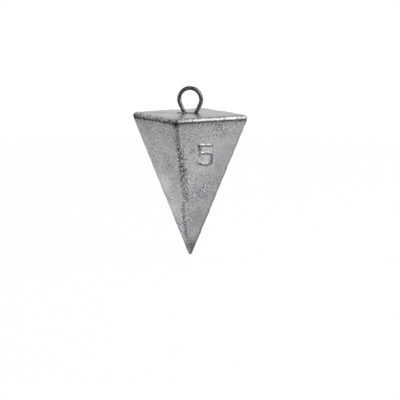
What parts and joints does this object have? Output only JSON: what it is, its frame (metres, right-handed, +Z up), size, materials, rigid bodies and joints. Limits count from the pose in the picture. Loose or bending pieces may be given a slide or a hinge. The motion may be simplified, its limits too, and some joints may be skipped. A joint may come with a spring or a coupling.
{
  "type": "pyramid fishing sinker",
  "caption": "Upside-down square pyramid of cast lead with a flat top, a blunt point, a raised weight figure on one face, and a round wire eye cast into the top.",
  "frame": {"origin": "centre of the wire eye, from which the sinker hangs", "axes": "+Z up, away from the lead and its point; +Y through the eye, square to its plane; +X in the eye's plane, towards the corner of the top on the right of the face with the raised figure"},
  "size_m": [0.0378, 0.0378, 0.0545],
  "materials": {
    "cast_lead": "as-cast lead, satin grey, finely speckled, edges worn brighter",
    "eye_wire": "plain drawn steel wire, dark grey, slightly uneven"
  },
  "bodies": {
    "root": {"lead_body": "cast_lead", "wire_eye": "eye_wire"}
  },
  "joints": []
}
